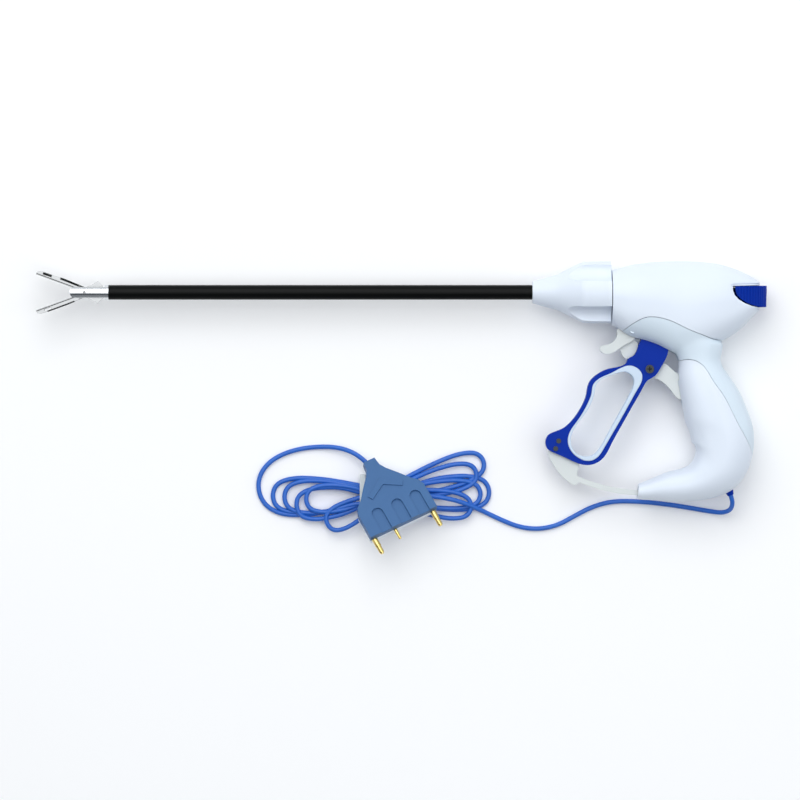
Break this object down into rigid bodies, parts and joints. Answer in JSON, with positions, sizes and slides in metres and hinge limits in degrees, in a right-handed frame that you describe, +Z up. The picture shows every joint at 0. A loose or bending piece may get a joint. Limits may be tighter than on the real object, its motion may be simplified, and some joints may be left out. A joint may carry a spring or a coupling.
{
  "type": "vessel sealing instrument",
  "caption": "Hand-held vessel sealer: long thin shaft with opening jaws, pistol grip with looped trigger, knife trigger, rear button, and a corded flat plug.",
  "frame": {"origin": "middle of the instrument's length and height, on the surface it lies on", "axes": "+X from the jaws to the rear button along the shaft, +Y from the grip's foot to the housing's top, +Z up from the surface the instrument lies on, across its width"},
  "size_m": [0.4968, 0.1988, 0.0432],
  "materials": {
    "white_shell": "satin moulded plastic",
    "grey_shell": "satin moulded plastic",
    "deep_blue": "satin moulded plastic",
    "pale_plastic": "fine matt moulding",
    "black_sleeve": "smooth sleeve",
    "bright_steel": "polished",
    "plain_steel": "turned",
    "insulator": "matt",
    "cord_blue": "smooth jacket",
    "plug_blue": "fine matt moulding",
    "gold": "gold plated",
    "board_green": "coated board"
  },
  "bodies": {
    "root": {"housing_near": "white_shell", "housing_far": "white_shell", "frame_near": "grey_shell", "frame_far": "grey_shell", "grip_near": "white_shell", "grip_far": "white_shell", "trigger_pin": "plain_steel", "knife_trigger_pin": "plain_steel", "switch_board": "board_green", "cord_boot": "cord_blue", "cord_lead": "cord_blue", "cord_hank": "cord_blue", "cord_loop": "cord_blue", "hank_tie": "pale_plastic", "plug_cover": "plug_blue", "plug_base": "white_shell", "plug_left_pin": "gold", "plug_right_pin": "gold", "plug_middle_pin": "gold"},
    "shaft": {"shaft_sleeve": "black_sleeve", "shaft_tube": "plain_steel", "front_ring": "bright_steel", "clevis": "bright_steel", "jaw_pivot_pin": "plain_steel", "rotation_knob": "white_shell"},
    "upper_jaw_body": {"upper_jaw": "bright_steel", "upper_insulator": "insulator", "upper_seal_plate": "bright_steel"},
    "lower_jaw_body": {"lower_jaw": "bright_steel", "lower_insulator": "insulator", "lower_seal_plate": "bright_steel"},
    "drive": {"drive_tube": "plain_steel", "drive_pin": "plain_steel", "drive_spool": "pale_plastic"},
    "knife": {"knife_blade": "plain_steel", "knife_rod": "plain_steel", "knife_slider": "pale_plastic"},
    "trigger": {"trigger_lever": "deep_blue", "loop_liner": "pale_plastic", "upper_rivet": "plain_steel", "lower_rivet": "plain_steel", "trigger_screw": "plain_steel", "latch_arm": "pale_plastic", "lockout_tab": "pale_plastic"},
    "link": {"trigger_link": "pale_plastic"},
    "knife_lever": {"knife_trigger": "pale_plastic"},
    "button": {"activation_button": "deep_blue"}
  },
  "joints": [
    {"name": "shaft_turn", "type": "hinge", "parent": "root", "child": "shaft", "pos_m": [0.14253, 0.06055, 0.02151], "axis": [1, 0, 0], "range_deg": [-175, 175]},
    {"name": "trigger_squeeze", "type": "hinge", "parent": "root", "child": "trigger", "pos_m": [0.16564, 0.03765, 0.02151], "axis": [0, 0, 1], "range_deg": [0, 20]},
    {"name": "drive_slide", "type": "slide", "parent": "shaft", "child": "drive", "axis": [-1, 0, 0], "range_m": [0, 0.0038]},
    {"name": "upper_jaw_close", "type": "hinge", "parent": "shaft", "child": "upper_jaw_body", "pos_m": [-0.21537, 0.06055, 0.02151], "axis": [0, 0, 1], "range_deg": [0, 20]},
    {"name": "lower_jaw_close", "type": "hinge", "parent": "shaft", "child": "lower_jaw_body", "pos_m": [-0.21537, 0.06055, 0.02151], "axis": [0, 0, -1], "range_deg": [0, 20]},
    {"name": "link_swing", "type": "hinge", "parent": "trigger", "child": "link", "pos_m": [0.16853, 0.00835, 0.02151], "axis": [0, 0, -1], "range_deg": [0, 20]},
    {"name": "knife_squeeze", "type": "hinge", "parent": "root", "child": "knife_lever", "pos_m": [0.15654, 0.03405, 0.02151], "axis": [0, 0, 1], "range_deg": [0, 15], "stiffness_Nm_per_rad": 0.1},
    {"name": "knife_slide", "type": "slide", "parent": "shaft", "child": "knife", "axis": [-1, 0, 0], "range_m": [0, 0.018]},
    {"name": "button_press", "type": "slide", "parent": "root", "child": "button", "axis": [-1, 0, 0], "range_m": [0, 0.0012], "stiffness_N_per_m": 150}
  ],
  "couplings": [
    {"joint": "drive_slide", "follows": "trigger_squeeze", "m_per_rad": 0.010886},
    {"joint": "upper_jaw_close", "follows": "trigger_squeeze", "ratio": 1},
    {"joint": "lower_jaw_close", "follows": "trigger_squeeze", "ratio": 1},
    {"joint": "link_swing", "follows": "trigger_squeeze", "ratio": 1},
    {"joint": "knife_slide", "follows": "knife_squeeze", "m_per_rad": 0.068754}
  ]
}
